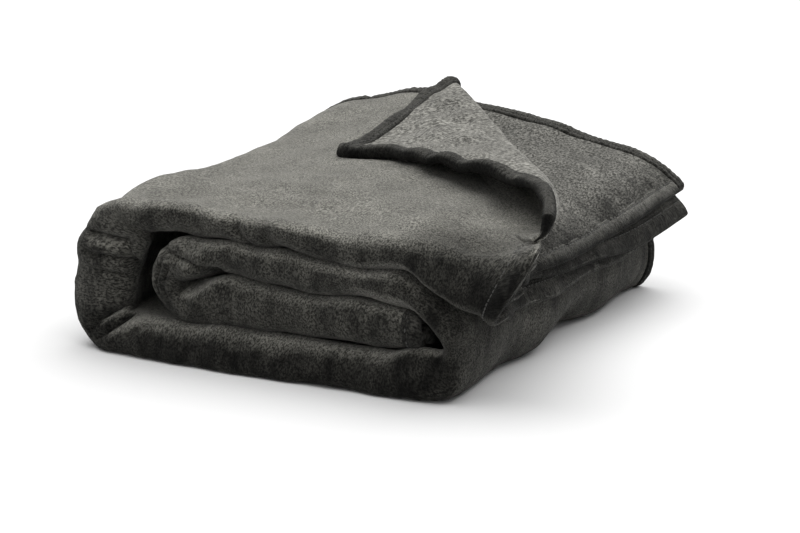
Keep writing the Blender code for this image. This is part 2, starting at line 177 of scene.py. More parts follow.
# (even place, how far it goes) of spots that the cloth is pulled by
PULLS = [
    # bottom, which stays where it lies
    ((-0.15, -0.19, 0.0), (0, -0.009, -0.003)), ((-0.1, -0.19, 0.0), (0, -0.010, -0.003)),
    ((-0.05, -0.19, 0.0), (0, -0.009, -0.003)), ((0.0, -0.19, 0.0), (0, -0.008, -0.003)),
    ((0.05, -0.19, 0.0), (0, -0.006, -0.003)), ((0.1, -0.19, 0.0), (0, -0.006, -0.003)),
    ((0.13, -0.19, 0.006), (0.0, -0.002, -0.004)),
    ((-0.15, 0.0, 0.0), (0, 0, 0)), ((0.0, 0.0, 0.0), (0, 0, 0)), ((0.1, 0.0, 0.0), (0, 0, 0)),
    ((-0.15, 0.19, 0.0), (0, 0, 0)), ((0.0, 0.19, 0.0), (0, 0, 0)), ((0.1, 0.19, 0.0), (0, 0, 0)),
    # left fold
    ((-0.1623, -0.19, 0.07), (0.026, 0, 0)), ((-0.1623, -0.19, 0.048), (0.020, 0, 0)),
    ((-0.1623, -0.15, 0.060), (0.012, 0, 0)), ((-0.1623, -0.08, 0.060), (0.0, 0, 0)),
    ((TURN_LEFT, -0.19, 0.055), (-0.004, 0, 0)), ((TURN_LEFT + 0.02, -0.19, 0.055), (0.0, 0, 0)),
    ((-0.1933, -0.19, 0.055), (-0.011, 0, 0)), ((-0.1933, -0.19, 0.078), (-0.012, 0, 0)),
    ((-0.187, -0.19, 0.1), (-0.012, 0, -0.003)), ((-0.1933, -0.19, 0.03), (-0.011, 0, 0)),
    ((-0.190, -0.19, 0.010), (-0.011, -0.004, -0.004)), ((-0.1933, -0.06, 0.06), (0, 0, 0)),
    ((-0.1623, -0.19, 0.088), (0.034, 0, 0.002)),
    ((-0.177, -0.19, 0.111), (-0.007, 0, -0.002)), ((-0.177, -0.12, 0.111), (-0.006, 0, 0.005)),
    ((-0.177, -0.05, 0.111), (-0.004, 0, 0.002)), ((-0.177, 0.05, 0.111), (-0.003, 0, 0.004)),
    ((-0.177, 0.13, 0.111), (-0.009, 0, 0.011)), ((-0.177, 0.19, 0.111), (-0.010, 0, 0.015)),
    # right fold
    ((0.1477, -0.19, 0.03), (-0.009, 0.003, 0)), ((0.1477, -0.1, 0.03), (-0.003, 0, 0)),
    ((0.1477, 0.0, 0.03), (0.0, 0, 0)), ((0.1477, 0.19, 0.03), (0.0, 0.0, 0)),
    ((0.1167, -0.19, 0.047), (0.009, 0, -0.003)), ((0.102, -0.19, 0.045), (0.011, 0, 0.003)),
    ((0.135, -0.19, 0.0165), (0.0, 0, -0.006)), ((0.135, -0.05, 0.0165), (0.005, 0, -0.007)),
    ((0.135, 0.08, 0.0165), (0.005, 0, -0.007)), ((0.135, 0.19, 0.0165), (0.005, 0, -0.006)),
    # top, at the back
    ((-0.133, 0.19, 0.127), (0, 0, 0.021)), ((-0.085, 0.19, 0.127), (0, 0, 0.031)),
    ((-0.045, 0.19, 0.127), (0, 0, 0.0315)), ((-0.004, 0.19, 0.121), (0, 0, 0.027)),
    ((0.054, 0.19, 0.121), (0, 0, 0.0185)), ((0.1, 0.19, 0.121), (0, 0, 0.006)),
    # top, half way
    ((-0.133, 0.09, 0.127), (0, 0, 0.007)), ((-0.085, 0.09, 0.127), (0, 0, 0.012)),
    ((-0.02, 0.09, 0.127), (0, 0, 0.016)), ((0.054, 0.09, 0.127), (0, 0, 0.009)),
    ((-0.133, 0.0, 0.127), (0, 0, -0.002)), ((-0.06, 0.0, 0.127), (0, 0, 0.004)),
    ((0.02, 0.0, 0.127), (0, 0, 0.005)), ((0.1, 0.0, 0.127), (0, 0, 0.0)),
    ((-0.133, -0.09, 0.127), (0, 0, -0.005)), ((-0.06, -0.09, 0.127), (0, 0, 0.001)),
    ((0.02, -0.09, 0.127), (0, 0, 0.002)), ((0.1, -0.09, 0.127), (0, 0, 0.0)),
    # top, at the front
    ((-0.133, -0.165, 0.127), (0, 0, -0.007)), ((-0.06, -0.165, 0.127), (0, 0, -0.009)),
    ((0.02, -0.165, 0.127), (0, 0, -0.009)), ((0.1, -0.165, 0.127), (0, 0, -0.007)),
]
for even, line in MEETINGS.items():
    for x, height in line:
        PULLS.append(((x, FRONT, even), (0, 0, height - even)))
        PULLS.append(((x, FRONT + 0.19, even), (0, 0, 0.4 * (height - even))))


def closeness(points, others, reach):
    far = np.linalg.norm(points[:, None] - others[None], axis=2) / reach
    return (1 + far) * np.exp(-far)


def puller(pulls, reach):
    """A way of moving points: each spot goes by its move, and what lies round it follows smoothly."""
    spots = np.array([spot for spot, _ in pulls], float)
    moves = np.array([move for _, move in pulls], float)
    weights = np.linalg.solve(closeness(spots, spots, reach), moves)
    return lambda points: points + closeness(points, spots, reach) @ weights


pulled = puller(PULLS, 0.045)


# Creases in the ends of the folds along the front: (x, height) to (x, height), width and depth
CREASES = [
    (-0.1800, 0.0915, -0.1391, 0.0905, 0.0045, 0.009),
    (-0.1890, 0.0780, -0.1390, 0.0770, 0.0030, 0.005),
    (-0.1720, 0.0630, -0.1440, 0.0640, 0.0030, 0.003),
    (-0.1405, 0.0860, -0.1414, 0.0580, 0.0022, 0.006),
    (-0.1414, 0.0580, -0.1350, 0.0440, 0.0022, 0.006),
    (-0.1831, 0.0128, -0.1481, 0.0380, 0.0032, 0.006),
    (-0.1756, 0.0073, -0.1244, 0.0370, 0.0032, 0.005),
    (-0.1250, 0.0890, -0.0640, 0.0765, 0.0025, 0.006),
    (-0.0910, 0.0575, -0.0640, 0.0765, 0.0050, 0.013),
    (-0.1090, 0.0790, -0.1150, 0.0600, 0.0016, 0.003),
    (-0.1150, 0.0600, -0.1070, 0.0390, 0.0016, 0.003),
    (-0.1030, 0.0760, -0.1085, 0.0600, 0.0016, 0.003),
    (-0.1085, 0.0600, -0.0990, 0.0370, 0.0016, 0.003),
    (-0.0500, 0.1230, -0.0335, 0.0990, 0.0038, 0.004),
    (-0.0180, 0.1100, 0.0000, 0.0950, 0.0045, 0.003),
]


def creased(points):
    """Pushes the cloth in along each crease, and out a little beside it."""
    front = smooth((FRONT + 0.03 - points[:, 1]) / 0.02)
    for x0, z0, x1, z1, width, depth in CREASES:
        start, way = np.array([x0, z0]), np.array([x1 - x0, z1 - z0])
        there = points[:, [0, 2]] - start
        share = np.clip(there @ way / (way @ way), 0, 1)
        off = np.linalg.norm(there - share[:, None] * way, axis=1) / width
        ends = smooth(np.minimum(share, 1 - share) * 6 + 0.35)
        push = np.exp(-off * off) - 0.25 * np.exp(-((off - 2.2) ** 2))
        points[:, 1] += depth * push * front * ends
    return points


def laid(points, normals, seed, loose):
    """The even cloth as it really lies: pulled, creased, and a little uneven everywhere."""
    uneven = 0.0010 * ripple(points, 0.11, seed) + 0.0004 * ripple(points, 0.035, seed + 1)
    uneven += 0.00012 * ripple(points, 0.008, seed + 2)
    points = creased(pulled(points + normals * (uneven * loose)[:, None]))
    points[:, 2] = np.maximum(points[:, 2], CLOTH / 2)
    return points


def cut_cloth(name, columns, rows, place):
    """A flat grid of cloth, folded by place(along, across), with its flat coordinates as UV."""
    mesh = bmesh.new()
    bmesh.ops.create_grid(mesh, x_segments=len(columns) - 1, y_segments=len(rows) - 1, size=1)
    flat = np.array([vert.co for vert in mesh.verts])
    along = columns[np.rint((flat[:, 0] + 1) / 2 * (len(columns) - 1)).astype(int)]
    across = rows[np.rint((flat[:, 1] + 1) / 2 * (len(rows) - 1)).astype(int)]
    for vert, point in zip(mesh.verts, place(along, across)):
        vert.co = point
    cloth_uv = mesh.loops.layers.uv.new("cloth")
    for face in mesh.faces:
        for loop in face.loops:
            loop[cloth_uv].uv = (along[loop.vert.index], across[loop.vert.index])
        face.smooth = True
    data = bpy.data.meshes.new(name)
    mesh.to_mesh(data)
    mesh.free()
    obj = bpy.data.objects.new(name, data)
    bpy.context.scene.collection.objects.link(obj)
    return obj


def thicken(obj, thickness):
    wall = obj.modifiers.new("thickness", "SOLIDIFY")
    wall.thickness = thickness
    wall.offset = 0
    wall.material_offset = 1
    return obj


def normals_of(place, along, across):
    step = 0.0015
    ahead = place(along + step, across) - place(along - step, across)
    aside = place(along, across + step) - place(along, across - step)
    normal = np.cross(ahead, aside)
    return normal / np.maximum(np.linalg.norm(normal, axis=1), 1e-12)[:, None]


def fleece(name, pile_colour, tip_colour, pile_size, streak, sheen):
    """Brushed fleece: short clumped pile, darker between the tips, with lighter and darker nap, times
    painted light and shade.
    """
    material = bpy.data.materials.new(name)
    material.use_nodes = True
    tree = material.node_tree
    nodes, links = tree.nodes, tree.links
    shader = nodes["Principled BSDF"]
    shader.inputs["Roughness"].default_value = 0.9
    shader.inputs["Specular IOR Level"].default_value = 0.1
    shader.inputs["Sheen Roughness"].default_value = 0.4
    shader.inputs["Sheen Tint"].default_value = (0.93, 0.92, 0.87, 1)

    def node(kind, **values):
        made = nodes.new(kind)
        for key, value in values.items():
            if key in made.inputs:
                made.inputs[key].default_value = value
            else:
                setattr(made, key, value)
        return made

    where = node("ShaderNodeUVMap", uv_map="cloth")
    space = node("ShaderNodeTexCoord")
    drift = node("ShaderNodeTexNoise", Scale=30.0, Detail=1.0)
    links.new(space.outputs["Object"], drift.inputs["Vector"])
    shift = node("ShaderNodeVectorMath", operation="MULTIPLY_ADD")
    shift.inputs[1].default_value = (0.004, 0.004, 0.004)
    links.new(drift.outputs["Color"], shift.inputs[0])
    links.new(where.outputs["UV"], shift.inputs[2])
    stretch = node("ShaderNodeMapping", Scale=(1.0, streak, 1.0))
    links.new(shift.outputs["Vector"], stretch.inputs["Vector"])
    pile = node("ShaderNodeTexNoise", Scale=1 / pile_size, Detail=4.0, Roughness=0.72)
    links.new(stretch.outputs["Vector"], pile.inputs["Vector"])
    clump = node("ShaderNodeTexNoise", Scale=0.28 / pile_size, Detail=2.0)
    links.new(stretch.outputs["Vector"], clump.inputs["Vector"])
    nap = node("ShaderNodeTexNoise", Scale=26.0, Detail=2.0, Roughness=0.6)
    links.new(space.outputs["Object"], nap.inputs["Vector"])

    tips = node("ShaderNodeMapRange", interpolation_type="SMOOTHSTEP")
    tips.inputs["From Min"].default_value = 0.40
    tips.inputs["From Max"].default_value = 0.62
    links.new(pile.outputs["Fac"], tips.inputs["Value"])
    mix = node("ShaderNodeMix", data_type="RGBA")
    mix.inputs["A"].default_value = pile_colour
    mix.inputs["B"].default_value = tip_colour
    links.new(tips.outputs["Result"], mix.inputs["Factor"])
    shade = node("ShaderNodeMapRange")
    shade.inputs["From Min"].default_value = 0.3
    shade.inputs["From Max"].default_value = 0.7
    shade.inputs["To Min"].default_value = 0.8
    shade.inputs["To Max"].default_value = 1.2
    links.new(nap.outputs["Fac"], shade.inputs["Value"])
    # The 'nap' attribute holds mostly painted light and shade; the colour is scaled by it.
    tone_and_light = node("ShaderNodeAttribute", attribute_name="nap")
    both = node("ShaderNodeMath", operation="MULTIPLY")
    links.new(shade.outputs["Result"], both.inputs[0])
    links.new(tone_and_light.outputs["Fac"], both.inputs[1])
    hang = node("ShaderNodeMapping", Scale=(1.0, 1.0, 0.4))
    links.new(space.outputs["Object"], hang.inputs["Vector"])
    stroke = node("ShaderNodeTexNoise", Scale=70.0, Detail=2.0, Roughness=0.6)
    links.new(hang.outputs["Vector"], stroke.inputs["Vector"])
    # Painted sheen: the sheen weight follows the painted light in the 'nap' attribute, strongest on
    # faces turned upward.
    painted_sheen = node("ShaderNodeMath", operation="MULTIPLY")
    painted_sheen.inputs[1].default_value = sheen
    links.new(tone_and_light.outputs["Fac"], painted_sheen.inputs[0])
    links.new(painted_sheen.outputs["Value"], shader.inputs["Sheen Weight"])
    depth = node("ShaderNodeMapRange")
    depth.inputs["From Min"].default_value = 0.4
    depth.inputs["From Max"].default_value = 1.4
    depth.inputs["To Min"].default_value = 4.0
    depth.inputs["To Max"].default_value = 0.5
    links.new(tone_and_light.outputs["Fac"], depth.inputs["Value"])
    brushed = node("ShaderNodeMath", operation="SUBTRACT")
    brushed.inputs[1].default_value = 0.5
    links.new(stroke.outputs["Fac"], brushed.inputs[0])
    strokes = node("ShaderNodeMath", operation="MULTIPLY")
    links.new(brushed.outputs["Value"], strokes.inputs[0])
    links.new(depth.outputs["Result"], strokes.inputs[1])
    stroked = node("ShaderNodeMath", operation="MULTIPLY_ADD")
    links.new(strokes.outputs["Value"], stroked.inputs[0])
    links.new(both.outputs["Value"], stroked.inputs[1])
    links.new(both.outputs["Value"], stroked.inputs[2])
    tinted = node("ShaderNodeVectorMath", operation="SCALE")
    links.new(mix.outputs["Result"], tinted.inputs[0])
    links.new(stroked.outputs["Value"], tinted.inputs["Scale"])
    links.new(tinted.outputs["Vector"], shader.inputs["Base Color"])

    fine = node("ShaderNodeBump", Strength=1.0, Distance=0.0016)
    links.new(pile.outputs["Fac"], fine.inputs["Height"])
    coarse = node("ShaderNodeBump", Strength=0.3, Distance=0.002)
    links.new(clump.outputs["Fac"], coarse.inputs["Height"])
    links.new(coarse.outputs["Normal"], fine.inputs["Normal"])
    links.new(fine.outputs["Normal"], shader.inputs["Normal"])
    return material


def set_tone_and_painted_light(obj, values):
    """Stores a tone at each point as the 'nap' attribute: mostly painted light and shade."""
    attribute = obj.data.attributes.new("nap", "FLOAT", "POINT")
    attribute.data.foreach_set("value", np.asarray(values, np.float32))


# The lower front of the top leaf's free end, darkened there as painted shade
PAINTED_SHADE_END, PAINTED_SHADE_REACH = (0.140, -0.185, 0.100), (0.045, 0.05, 0.03)


def painted_light_of(obj, outside=1):
    """Painted light and shade at each point: lighter where the surface faces upward, darker near the
    floor and at the ends.
    """
    points = points_of(obj)
    normals = np.zeros(len(points) * 3)
    obj.data.vertices.foreach_get("normal", normals)
    outward = outside * normals.reshape(-1, 3)
    # Painted light: faces that look upward are made lighter, as if lit from above.
    painted_top_light = smooth((outward[:, 2] - 0.35) / 0.6)
    value = 0.68 + 1.98 * painted_top_light
    # Painted shade: faces near the floor that turn to the front, and not upward, are made darker, as
    # under the pack.
    painted_low_shade = smooth((0.040 - points[:, 2]) / 0.010)
    value *= 1 - 0.6 * painted_low_shade * (1 - painted_top_light) * smooth((-outward[:, 1] - 0.2) / 0.4)
    # Painted shade at the lower front of the top leaf's free end.
    from_end = np.linalg.norm((points - PAINTED_SHADE_END) / PAINTED_SHADE_REACH, axis=1)
    value *= 1 - 0.6 * smooth(1.5 - from_end)
    # Painted light: a lighter band on the down-facing rim of the top leaf's front fold, at the right.
    painted_rim_light = smooth((-outward[:, 2] - 0.25) / 0.3) * smooth((points[:, 0] - 0.04) / 0.04)
    value += 0.8 * painted_rim_light * smooth((points[:, 2] - 0.05) / 0.01) * smooth((-0.14 - points[:, 1]) / 0.02)
    # Painted shade on the plies' ends in the nook under the hanging free end.
    painted_end_shade = smooth((points[:, 0] - 0.1) / 0.02) * smooth((0.092 - points[:, 2]) / 0.012)
    value *= 1 - 0.55 * painted_end_shade * smooth((points[:, 2] - 0.05) / 0.012)
    return value


def points_of(obj):
    flat = np.zeros(len(obj.data.vertices) * 3)
    obj.data.vertices.foreach_get("co", flat)
    return flat.reshape(-1, 3)


face_side = fleece("fleece", (0.010, 0.0097, 0.0082, 1), (0.098, 0.0955, 0.084, 1), 0.0013, 0.9, 0.15)
underside = fleece(
    "fleece_underside", (0.016, 0.0155, 0.0135, 1), (0.14, 0.137, 0.124, 1), 0.0019, 0.6, 0.15
)


def stops(*runs):
    """Places along a line: runs of (end, spacing), one after the other from 0."""
    found = [0.0]
    for end, spacing in runs:
        count = max(1, math.ceil((end - found[-1]) / spacing))
        found += list(np.linspace(found[-1], end, count + 1)[1:])
    return np.array(found)


FRONT_FOLD = BACK - (FRONT + CLOTH / 2 + 1.5 * PLY)
FRONT_FOLD_END = FRONT_FOLD + math.pi * 1.5 * PLY
LOOP = FRONT_FOLD_END + BACK - CLOTH / 2 - PLY / 2 - (FRONT + CLOTH / 2 + 1.5 * PLY)
LOOP_END = LOOP + math.pi * PLY / 2
INNER = WIDTH - (BACK - (FRONT + 2 * CLOTH + PLY / 2)) - math.pi * PLY / 2

rolled_rows = stops(
    (0.05, 0.006), (FRONT_FOLD - 0.04, 0.012), (FRONT_FOLD, 0.004), (FRONT_FOLD_END, 0.0016),
    (FRONT_FOLD_END + 0.02, 0.004), (LOOP - 0.05, 0.02), (LOOP, 0.008), (LOOP_END, 0.002),
    (LOOP_END + 0.02, 0.008), (INNER, 0.025), (INNER + math.pi * PLY / 2, 0.003),
    (WIDTH - 0.05, 0.022), (WIDTH, 0.007),
)
rolled_columns = stops((0.0002, 0.0001), (ROLL_LENGTH, 0.0030))


def place_rolled(along, across):
    even = in_pack(ROLL, along, across)
    normal = normals_of(lambda a, c: in_pack(ROLL, a, c), along, across)
    return laid(even, normal, 3, np.ones(len(along)))


rolled = cut_cloth("rolled_cloth", rolled_columns, rolled_rows, place_rolled)
rolled.data.materials.append(face_side)
rolled.data.materials.append(underside)
set_tone_and_painted_light(rolled, painted_light_of(rolled))
thicken(rolled, CLOTH)
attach(rolled, "folded_stack")
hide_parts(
    "left_fold", "bottom_leaf", "right_fold", "second_leaf", "inner_turn", "third_leaf"
)

# ---- Top leaf ----
# The stretch of the same cloth that lies on the pack: cover ply, inner plies and the lining ply,
# open at the back and at the free end, which hangs over the right fold.

SHOULDER = RIGHT_TURN + STRIP + GAP
TOP_FLAT = BEND_X - SEAM
# The leaf's two ways to its free end: nearly level along the front, and hanging at the back
LEVEL_ROLL = walk(
    (SEAM, LEAF_TOP - HALF),
    0.0,
    [(TOP_FLAT, 0), bend(SHOULDER + HALF, -math.radians(5)), (0.083, 0)],
)
HANGING_ROLL = walk(
    (SEAM, LEAF_TOP - HALF),
    0.0,
    [(TOP_FLAT, 0), bend(SHOULDER + HALF, -math.radians(62)), (0.02, 0)],
)
TOP_LENGTH = TOP_FLAT + 0.09
top_columns = stops((0.0002, 0.0001), (TOP_LENGTH, 0.0024))
top_rows = stops(
    (FRONT_FOLD - 0.03, 0.0035), (FRONT_FOLD, 0.0025), (FRONT_FOLD_END, 0.0016),
    (FRONT_FOLD_END + 0.03, 0.005), (LOOP - 0.03, 0.016), (LOOP, 0.008), (LOOP_END, 0.002),
    (LOOP_END + 0.03, 0.008), (INNER, 0.016), (INNER + math.pi * PLY / 2, 0.003), (WIDTH, 0.005),
)


def on_way(way, along, y, outward, reach=1.0):
    past = np.maximum(along - TOP_FLAT, 0) / (TOP_LENGTH - TOP_FLAT) * (way[0][-1] - TOP_FLAT) * reach
    x, z, heading = on_line(way, np.minimum(along, TOP_FLAT) + past)
    return np.stack([x - np.sin(heading) * outward, y, z + np.cos(heading) * outward], axis=-1)


def top_even(along, across):
    """Even places of the top leaf. It is measured from the seam towards the free end."""
    y, height, _ = on_line(ACROSS, across)
    cover = across < FRONT_FOLD
    hang = np.where(cover, 0.45 * smooth((y + 0.13) / 0.10), smooth((y + 0.168) / 0.07))
    reach = 1 - 0.25 * np.where(cover, 1, smooth((across - LOOP_END) / (INNER - LOOP_END)))
    level = on_way(LEVEL_ROLL, along, y, height - HALF)
    hanging = on_way(HANGING_ROLL, along, y, height - HALF, reach)
    return level + hang[:, None] * (hanging - level)


# (where the leaf's end would lie, where it really goes)
END_PULLS = [
    # the cover, towards the front end
    ((0.1872, -0.1555, 0.1109), (0.191, -0.160, 0.122)),
    ((0.1466, -0.1563, 0.1098), (0.147, -0.157, 0.115)),
    ((0.1881, -0.1289, 0.1129), (0.184, -0.129, 0.114)),
    ((0.1463, -0.0997, 0.1164), (0.147, -0.0997, 0.110)),
    ((0.1240, -0.1300, 0.1174), (0.124, -0.130, 0.118)),
    # the front fold: its foremost line and its foot
    ((0.1835, -0.1868, 0.0965), (0.190, -0.190, 0.100)),
    ((0.1653, -0.1882, 0.0935), (0.167, -0.190, 0.095)),
    ((0.1443, -0.1889, 0.0895), (0.145, -0.190, 0.093)),
    ((0.1807, -0.1730, 0.0856), (0.168, -0.182, 0.066)),
    ((0.1623, -0.1733, 0.0811), (0.155, -0.182, 0.065)),
    ((0.1423, -0.1744, 0.0781), (0.140, -0.184, 0.0735)),
    ((0.1220, -0.1756, 0.0796), (0.1215, -0.183, 0.082)),
    # behind the foot
    ((0.1786, -0.1535, 0.0833), (0.166, -0.158, 0.064)),
    ((0.1618, -0.1539, 0.0825), (0.154, -0.158, 0.064)),
    ((0.1613, -0.1234, 0.0670), (0.157, -0.126, 0.059)),
    ((0.1831, -0.1656, 0.0935), (0.180, -0.166, 0.086)),
    ((0.1691, -0.1306, 0.0901), (0.168, -0.132, 0.082)),
    # where the leaf stays as it is
    ((0.1590, -0.0900, 0.0817), (0.158, -0.090, 0.080)),
    ((0.1523, -0.0758, 0.0529), (0.152, -0.076, 0.052)),
    ((0.09, -0.185, 0.105), (0.09, -0.185, 0.105)), ((0.09, -0.1, 0.125), (0.09, -0.1, 0.125)),
    ((0.15, 0.0, 0.08), (0.15, 0.0, 0.08)), ((0.155, 0.19, 0.06), (0.169, 0.204, 0.062)),
    ((0.09, 0.18, 0.12), (0.09, 0.18, 0.12)), ((0.1, -0.1, 0.1), (0.1, -0.1, 0.1)),
]
end_pulled = puller([(spot, np.subtract(goes, spot)) for spot, goes in END_PULLS], 0.03)


def place_top(along, across):
    even = top_even(along, across)
    normal = normals_of(top_even, along, across)
    return end_pulled(laid(even, -normal, 3, np.ones(len(along))))


# The crease that the cover's back corner is turned over: from the back hem to the free end
CREASE_BACK = Vector((-0.050, BACK))
CREASE_FRONT = Vector((0.193, -0.157))

top = cut_cloth("top_leaf_cloth", top_columns, top_rows, place_top)
trim = bmesh.new()
trim.from_mesh(top.data)
cover_tree = BVHTree.FromBMesh(trim)
trim_uv = trim.loops.layers.uv["cloth"]
flat_of = {loop.vert.index: loop[trim_uv].uv.copy() for face in trim.faces for loop in face.loops}
back_u = CREASE_BACK.x - SEAM
front_v = BACK - CREASE_FRONT.y
beyond = []
for face in trim.faces:
    middle = sum((flat_of[vert.index] for vert in face.verts), Vector((0, 0))) / len(face.verts)
    if middle.y < FRONT_FOLD and (middle.x - back_u) / (TOP_LENGTH - back_u) > middle.y / front_v:
        beyond.append(face)
bmesh.ops.delete(trim, geom=beyond, context="FACES")
trim.verts.index_update()
flat_of_top = np.zeros((len(trim.verts), 2))
for face in trim.faces:
    for loop in face.loops:
        flat_of_top[loop.vert.index] = loop[trim_uv].uv
trim.to_mesh(top.data)
trim.free()
top.data.materials.append(underside)
top.data.materials.append(face_side)
# The lining plies get half of this painted light and shade, and less still past x = 0.125 towards the
# free end.
lining_tone = painted_light_of(top) * (0.50 - 0.18 * smooth((points_of(top)[:, 0] - 0.125) / 0.03))
set_tone_and_painted_light(top, np.where(flat_of_top[:, 1] < INNER, painted_light_of(top, -1), lining_tone))
thicken(top, CLOTH)
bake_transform(top)
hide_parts("top_leaf_cover", "top_leaf_plies")

# ---- Turned corner ----
# The cover ply's back corner, turned over so that its lighter underside shows. The crease is a soft
# roll: tight at the back hem and open at the free end. It lies loose on the cover.

CREASE_WAY = (CREASE_FRONT - CREASE_BACK).normalized()
INWARD = Vector((CREASE_WAY.y, -CREASE_WAY.x))
CREASE_LENGTH = (CREASE_FRONT - CREASE_BACK).length
TIP_ALONG, TIP_IN = 0.140, 0.125
UNDER = 0.055
LIES_ON = CLOTH + 0.0004


def crease_size(along):
    """Radius of the roll at the crease, and how far it bows out to the right of a straight line."""
    radius = np.interp(
        along, [0, 0.1, 0.2, 0.3, 0.36, 0.44], [0.0045, 0.006, 0.008, 0.0135, 0.0172, 0.018]
    )
    out = np.interp(
        along,
        [0, 0.04, 0.1, 0.15, 0.2, 0.24, 0.28, 0.3, 0.32, 0.34, 0.36, 0.39, 0.43],
        [0, 0.0, 0.010, 0.016, 0.018, 0.0195, 0.025, 0.0275, 0.027, 0.0255, 0.021, 0.011, 0.001],
    )
    return radius, out


def cover_height(x, y):
    """Height of the cover's middle at each place."""
    found = []
    for spot in zip(x, y):
        hit = cover_tree.ray_cast(Vector((*spot, 0.3)), Vector((0, 0, -1)))[0]
        found.append(hit.z if hit else cover_tree.find_nearest(Vector((*spot, 0.12)))[0].z)
    return np.array(found)


def place_corner(along, inward):
    """Points of the corner from flat places: along the crease, and in from it over the flap."""
    radius, out = crease_size(along)
    quarter = math.pi / 2 * radius
    angle = np.clip(inward / radius, -math.pi / 2, math.pi / 2)
    past = np.maximum(np.abs(inward) - quarter, 0)
    hooked = 1 - 0.65 * smooth((along - 0.34) / 0.07) * (inward < 0)
    across = radius * (1 - np.cos(angle)) * hooked + past - out
    lift = radius * (1 + np.sin(angle))
    settled = 1 - np.clip(1 - past / 0.12, 0, 1) ** 1.2
    lift = lift - 2 * radius * settled * (inward > 0)
    lift = lift - (LIES_ON + 0.0006) * smooth(past / 0.028) * (inward < 0)
    x = CREASE_BACK.x + CREASE_WAY.x * along + INWARD.x * across
    y = CREASE_BACK.y + CREASE_WAY.y * along + INWARD.y * across
    tip = smooth(1 - np.hypot(along - TIP_ALONG, inward - TIP_IN) / 0.06)
    x, y = x - 0.0055 * tip, y - 0.0180 * tip
    points = np.stack([x, y, cover_height(x, y) + LIES_ON + lift], axis=-1)
    points[:, 2] += 0.0012 * (ripple(points, 0.045, 11) + 1) * (inward > 0) * smooth(past / 0.02)
    return points


corner = cut_cloth(
    "corner_cloth",
    np.linspace(0.0, CREASE_LENGTH + 0.006, 170),
    np.linspace(-UNDER, TIP_IN, 90),
    lambda along, inward: np.stack([along, inward, 0 * along], axis=-1),
)
trim = bmesh.new()
trim.from_mesh(corner.data)
edge_way = Vector((CREASE_LENGTH - TIP_ALONG, -TIP_IN)).normalized()
back_way = Vector((TIP_ALONG, TIP_IN)).normalized()
for point, outside in (
    ((TIP_ALONG, TIP_IN, 0), (-edge_way.y, edge_way.x, 0)),
    ((TIP_ALONG, TIP_IN, 0), (-back_way.y, back_way.x, 0)),
    ((CREASE_LENGTH, -0.034, 0), (0.2, -0.98, 0)),
):
    bmesh.ops.bisect_plane(
        trim,
        geom=trim.verts[:] + trim.edges[:] + trim.faces[:],
        plane_co=point,
        plane_no=outside,
        clear_outer=True,
        dist=0.0003,
    )
corner_area = sum(face.calc_area() for face in trim.faces)
trim.to_mesh(corner.data)
trim.free()
flat = points_of(corner)
folded = place_corner(flat[:, 0], flat[:, 1])
corner.data.vertices.foreach_set("co", folded.ravel())
corner.data.update()
corner.data.materials.append(face_side)
corner.data.materials.append(underside)
# The turned flap and its crease roll get one fixed light tone, as painted light on a face turned
# upward.
inside = smooth((flat[:, 1] + 0.02) / 0.02)
set_tone_and_painted_light(corner, painted_light_of(corner) * (1 - inside) + 2.05 * inside)
thicken(corner, CLOTH)
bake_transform(corner)
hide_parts("corner_flap", "corner_curl")

# ---- Hems ----
# Each edge of the cloth is turned over and sewn down, which makes it a thick rounded band with its
# pile pressed flat. The bands belong to the cloth and go where it goes.

HEM, HEM_HALF = 0.0135, 0.0049
END_WIDTH, END_HALF = 0.020, 0.0030
# Round the band: share of its width from the edge inwards, share of its half thickness
HEM_SECTION = (
    (0.0, 0.0), (0.03, 0.5), (0.15, 0.88), (0.36, 1.0), (0.58, 0.95), (0.7, 0.86), (0.76, 0.72),
    (0.82, 0.80), (0.92, 0.74), (1.05, 0.35), (1.08, 0.0), (1.05, -0.35), (0.92, -0.74), (0.82, -0.80),
    (0.76, -0.72), (0.7, -0.86), (0.58, -0.95), (0.36, -1.0), (0.15, -0.88), (0.03, -0.5),
)

hem_fleece = fleece("hem", (0.008, 0.0078, 0.0068, 1), (0.06, 0.0585, 0.052, 1), 0.0014, 0.9, 0.15)


def band_lines(place, first, second, first_in, second_in):
    """The cloth's edge, and lines half way and all the way over to where the band is sewn down."""
    first, second = np.broadcast_arrays(np.asarray(first, float), np.asarray(second, float))
    return [place(first + share * first_in, second + share * second_in) for share in (0.0, 0.5, 1.0)]


def on_band(lines, share, height):
    """Points along the band at a share of its width, raised from the cloth's middle."""
    edge, middle, inner = lines
    spot = edge * (2 * (share - 0.5) * (share - 1)) - middle * (4 * share * (share - 1))
    spot = spot + inner * (2 * share * (share - 0.5))
    inward = edge * (4 * share - 3) - middle * (8 * share - 4) + inner * (4 * share - 1)
    normal = np.cross(np.gradient(edge, axis=0), inward)
    normal /= np.linalg.norm(normal, axis=1)[:, None]
    inward = inward / np.linalg.norm(inward, axis=1)[:, None]
    return spot + normal * np.reshape(height, (-1, 1)) - inward * 0.0012, normal


